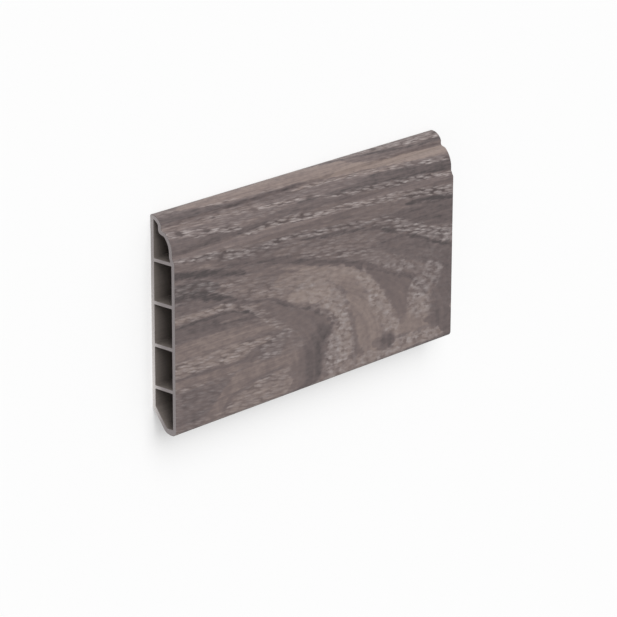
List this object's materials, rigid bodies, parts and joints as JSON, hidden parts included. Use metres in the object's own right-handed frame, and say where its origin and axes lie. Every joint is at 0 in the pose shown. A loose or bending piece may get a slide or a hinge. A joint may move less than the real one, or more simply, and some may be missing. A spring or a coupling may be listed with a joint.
{
  "type": "skirting board length",
  "caption": "Short length of hollow multi-chamber plastic skirting board with a moulded top edge and a wood-print film face.",
  "frame": {"origin": "middle of the wall side, which lies on the floor when the board is stored on its back", "axes": "+X along the board, +Y from the floor edge to the moulded top edge, +Z from the wall side out to the face"},
  "size_m": [0.188, 0.1, 0.0145],
  "materials": {
    "rigid_pvc": "extruded rigid PVC, satin, with sawn ends",
    "decor_film": "printed grey oak film, matt, lightly embossed"
  },
  "bodies": {
    "root": {"hollow_profile": "rigid_pvc", "decor_film": "decor_film"}
  },
  "joints": []
}
